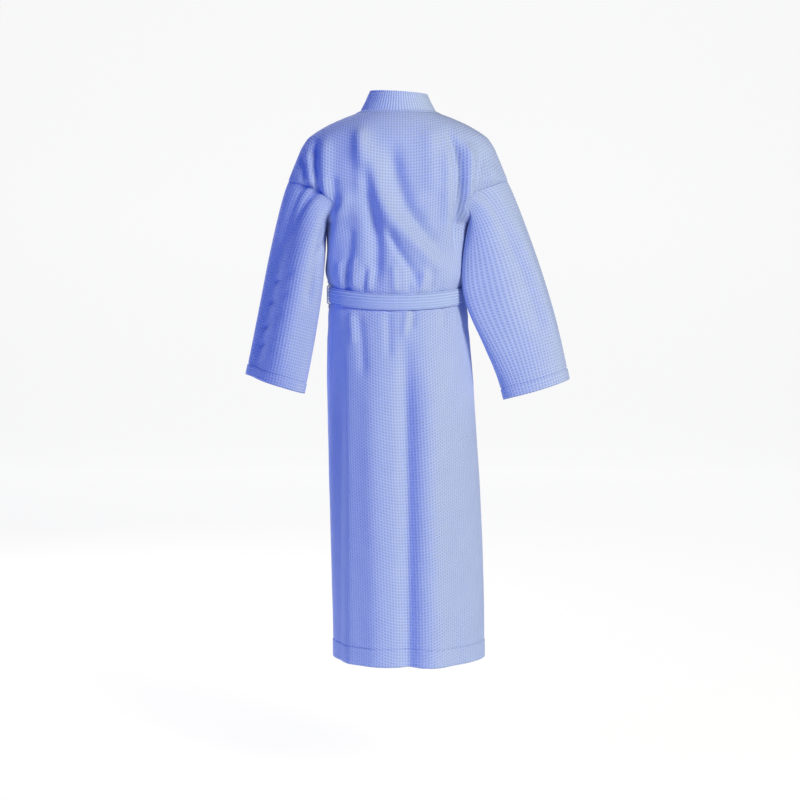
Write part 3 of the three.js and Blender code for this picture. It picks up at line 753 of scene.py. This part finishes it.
# Belt loops: a short strip of band cloth at each side seam, sewn above and below the belt.
for side, word in ((1, "left"), (-1, "right")):
    def loop_place(u, v, side=side):
        z = -0.412 + 0.031 - v
        angle = side * np.pi / 2 + (0.006 - 0.012 * u) / half_depth(z)
        rise = 1 - ease(np.abs(v - 0.031), 0.0185, 0.0235)
        a, b, s, c = half_width(belt_z), half_depth(belt_z), np.sin(angle), np.cos(angle)
        plain = np.stack([a * s, b * c, z], -1)
        normal = np.stack([s, c * 0.7, np.zeros(s.shape)], -1)
        over = plain + normal * 0.0083
        return on_body(angle, z, 0.0022) * (1 - rise[..., None]) + over * rise[..., None]

    loop = sew("belt_loop_" + word, np.linspace(0, 1, 9), np.linspace(0, 0.062, 49), loop_place,
               lambda u, v: np.stack([u * 0.012, v], -1), 0.0018, soft_edge=0.0005)
    loop.data.materials.append(band_cloth)
    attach(loop, "robe")
    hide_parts("belt_loop_" + word)

# Patch pockets: a square of waffle cotton on each front, with a wide turned hem at its open top. It
# is stitched down at both sides and the bottom, and its mouth stands slightly open.
for side, word, start in ((1, "left", 18), (-1, "right", 38)):
    def pocket_at(u, v, side=side, start=start):
        turn = start + 38 * (u if side > 0 else 1 - u)
        return np.pi - side * np.radians(turn), -0.560 - v

    def pocket_place(u, v):
        angle, z = pocket_at(u, v)
        belly = np.sin(np.pi * u) ** 0.8 * (1 - (v / 0.178) ** 2) ** 0.7
        rim = np.minimum(np.minimum(u, 1 - u) * 0.100, 0.175 - v)
        stitch = -0.0010 * np.exp(-(((rim - 0.004) / 0.0012) ** 2))
        band = 0.0012 * (1 - ease(v, 0.024, 0.027)) - 0.0014 * np.exp(-(((v - 0.026) / 0.0014) ** 2))
        return on_body(angle, z, 0.0030 + 0.0125 * belly + stitch + band)

    pocket_cols = steps_for(0.100, 0.0035, fine=(0.004, 0.096), close=0.001, many=2) / 0.100
    pocket_rows = steps_for(0.175, 0.0035, fine=(0.026, 0.171), close=0.001, many=2)
    pocket = sew("pocket_" + word, pocket_cols, pocket_rows, pocket_place,
                 lambda u, v: weave_on_body(*pocket_at(u, v)), 0.0022)
    pocket.data.materials.append(waffle)
    if side > 0:
        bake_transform(pocket)
    else:
        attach(pocket, "robe")
    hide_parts("pocket_" + word)

# Neck finishing: a tape over the neckband's seam, a blank woven label under it, and a round cord
# loop to hang the robe by.
# Their darker colours are painted shade in the fine rib grooves.
tape_cloth = cotton("seam_tape", (0.40, 0.50, 0.83), (0.30, 0.41, 0.78), relief=0.0003, ribs=0.0012)
label_cloth = cotton("blank_label", (0.80, 0.83, 0.90), (0.72, 0.76, 0.86), relief=0.0002, ribs=0.0008)


def tape_place(u, v):
    angle = math.radians(62) * (1 - 2 * u)
    z = -0.010 - v
    return on_body(angle, z, -cloth - 0.0005)


tape = sew("neck_tape", np.linspace(0, 1, 65), np.linspace(0, 0.016, 9), tape_place,
           lambda u, v: np.stack([u * 0.27, v], -1), 0.0009)
tape.data.materials.append(tape_cloth)
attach(tape, "robe")
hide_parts("neck_tape")


def label_place(u, v):
    x = 0.022 * (1 - 2 * u)
    return np.stack([x, 0.0996 - 0.004 * v / 0.026 + 0 * x, -0.058 - v], -1)


label = sew("neck_label", np.linspace(0, 1, 13), np.linspace(0, 0.026, 9), label_place,
            lambda u, v: np.stack([u * 0.044, v], -1), 0.0008)
label.data.materials.append(label_cloth)
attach(label, "robe")
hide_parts("neck_label")

loop_path = []
for k in range(61):
    t = k / 60 * 2 - 1
    bend = min(max((1 - abs(t)) / 0.55, 0), 1)
    turn = math.pi / 2 * bend
    loop_x = math.copysign(0.018 * math.cos(turn) ** 0.8 if bend < 1 else 0.0, t)
    loop_path.append((loop_x, 0.056, 0.002 - 0.044 * math.sin(turn)))
line = bpy.data.curves.new("hang_loop", "CURVE")
line.dimensions = "3D"
line.bevel_depth = 0.0015
line.bevel_resolution = 3
spline = line.splines.new("POLY")
spline.points.add(len(loop_path) - 1)
for point, spot in zip(spline.points, loop_path):
    point.co = (*spot, 1)
hang_loop = bpy.data.objects.new("hang_loop", line)
scene.collection.objects.link(hang_loop)
cord_paint = bpy.data.materials.new("loop_cord")
cord_paint.use_nodes = True
cord_shader = cord_paint.node_tree.nodes["Principled BSDF"]
cord_shader.inputs["Base Color"].default_value = (0.34, 0.45, 0.80, 1)
cord_shader.inputs["Roughness"].default_value = 0.8
line.materials.append(cord_paint)
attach(hang_loop, "loop")
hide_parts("hang_loop")

# Inside: the two ties that hold the under front at the waist, and a blank care label in the side seam.
for word, x0, x1 in (("under", 0.022, 0.070), ("side", 0.0706, 0.140)):
    def tie_place(u, v, x0=x0, x1=x1):
        z = -0.419 - v
        x = x0 + (x1 - x0) * u
        angle = front_angle(x, z)
        depth = -0.0112 + 0.0060 * ease(x, 0.072, 0.118)
        return on_body(angle, z, depth)

    tie = sew("inner_tie_" + word, np.linspace(0, 1, 25), np.linspace(0, 0.010, 7), tie_place,
              lambda u, v: np.stack([u * 0.06, v], -1), 0.0014)
    tie.data.materials.append(tape_cloth)
    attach(tie, "robe")
    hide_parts("inner_tie_" + word)


def care_place(u, v):
    return on_body(np.radians(82 - 12 * u), -0.610 - v, -cloth - 0.0015)


care = sew("care_label", np.linspace(0, 1, 13), np.linspace(0, 0.055, 17), care_place,
           lambda u, v: np.stack([u * 0.033, v], -1), 0.0006)
care.data.materials.append(label_cloth)
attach(care, "robe")
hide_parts("care_label")
